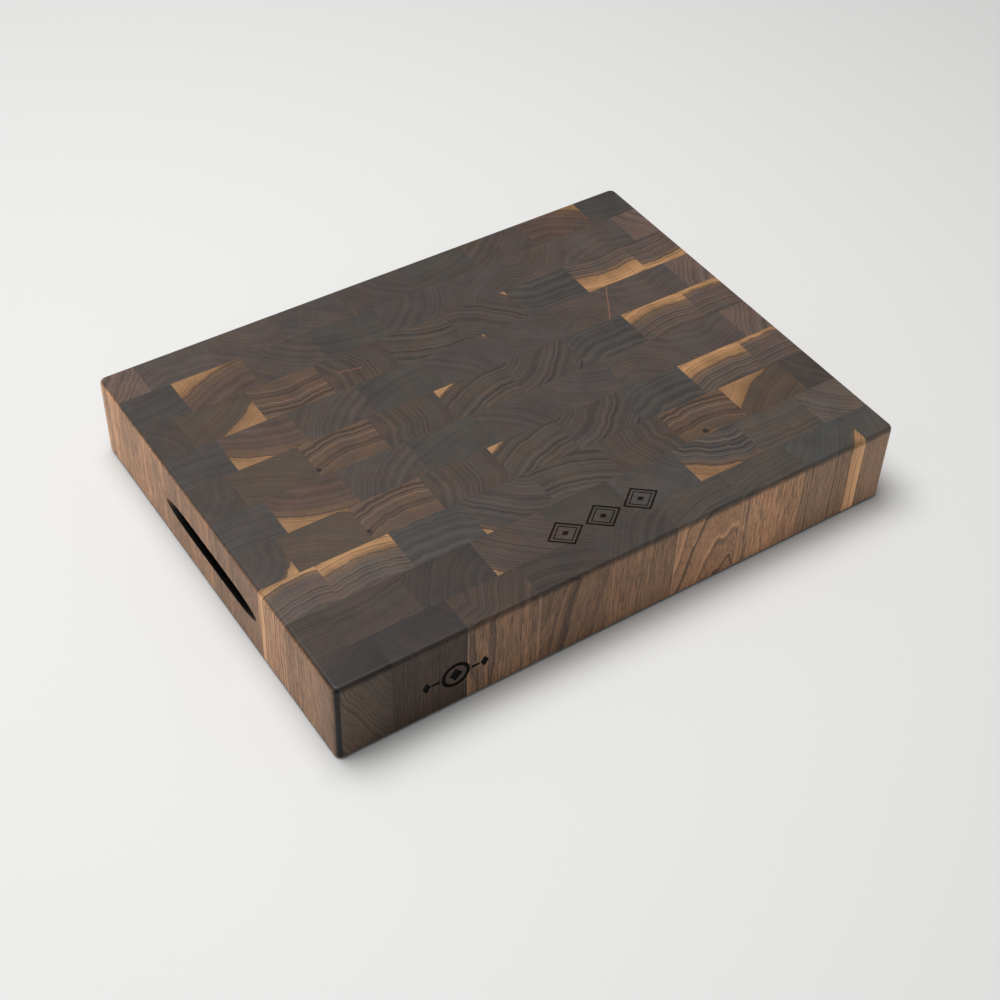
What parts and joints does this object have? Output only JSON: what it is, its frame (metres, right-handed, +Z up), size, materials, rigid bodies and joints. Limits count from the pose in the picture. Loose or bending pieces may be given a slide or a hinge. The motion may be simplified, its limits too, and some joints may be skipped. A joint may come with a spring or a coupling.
{
  "type": "cutting board",
  "caption": "Thick end-grain cutting board of glued walnut blocks with rounded edges, flat faces and a recessed finger grip in each short end.",
  "frame": {"origin": "centre of the board's footprint, on its underside", "axes": "+X along the long sides, +Y towards the back, +Z up out of the working face; the front, with the small burned mark, faces -Y"},
  "size_m": [0.508, 0.381, 0.0762],
  "materials": {
    "walnut_dark": "oiled end grain, satin",
    "walnut_brown": "oiled end grain, satin",
    "walnut_sapwood": "oiled end grain with a pale sapwood edge, satin"
  },
  "bodies": {
    "root": {"row_01_block_01": "walnut_dark", "row_01_block_02": "walnut_dark", "row_01_block_03": "walnut_brown", "row_01_block_04": "walnut_brown", "row_01_block_05": "walnut_dark", "row_01_block_06": "walnut_brown", "row_01_block_07": "walnut_dark", "row_01_block_08": "walnut_sapwood", "row_01_block_09": "walnut_dark", "row_02_block_01": "walnut_brown", "row_02_block_09": "walnut_brown", "row_02_blocks_02_03": "walnut_brown", "row_02_blocks_04_06": "walnut_sapwood", "row_02_blocks_07_08": "walnut_sapwood", "row_03_block_01": "walnut_sapwood", "row_03_block_09": "walnut_dark", "row_03_blocks_02_03": "walnut_sapwood", "row_03_blocks_04_06": "walnut_brown", "row_03_blocks_07_08": "walnut_brown", "row_04_block_01": "walnut_sapwood", "row_04_block_09": "walnut_sapwood", "row_04_blocks_02_03": "walnut_brown", "row_04_blocks_04_06": "walnut_brown", "row_04_blocks_07_08": "walnut_dark", "row_05_block_01": "walnut_dark", "row_05_block_09": "walnut_brown", "row_05_blocks_02_03": "walnut_sapwood", "row_05_blocks_04_06": "walnut_dark", "row_05_blocks_07_08": "walnut_brown", "row_06_block_01": "walnut_dark", "row_06_block_09": "walnut_sapwood", "row_06_blocks_02_03": "walnut_brown", "row_06_blocks_04_06": "walnut_brown", "row_06_blocks_07_08": "walnut_dark", "row_07_block_01": "walnut_dark", "row_07_block_09": "walnut_brown", "row_07_blocks_02_03": "walnut_sapwood", "row_07_blocks_04_06": "walnut_dark", "row_07_blocks_07_08": "walnut_dark", "row_08_block_01": "walnut_dark", "row_08_block_09": "walnut_sapwood", "row_08_blocks_02_03": "walnut_sapwood", "row_08_blocks_04_06": "walnut_brown", "row_08_blocks_07_08": "walnut_dark", "row_09_block_01": "walnut_dark", "row_09_block_09": "walnut_brown", "row_09_blocks_02_03": "walnut_sapwood", "row_09_blocks_04_06": "walnut_dark", "row_09_blocks_07_08": "walnut_dark", "row_10_block_01": "walnut_brown", "row_10_block_02": "walnut_dark", "row_10_block_03": "walnut_dark", "row_10_block_04": "walnut_dark", "row_10_block_05": "walnut_dark", "row_10_block_06": "walnut_dark", "row_10_block_07": "walnut_dark", "row_10_block_08": "walnut_sapwood", "row_10_block_09": "walnut_dark"}
  },
  "joints": []
}
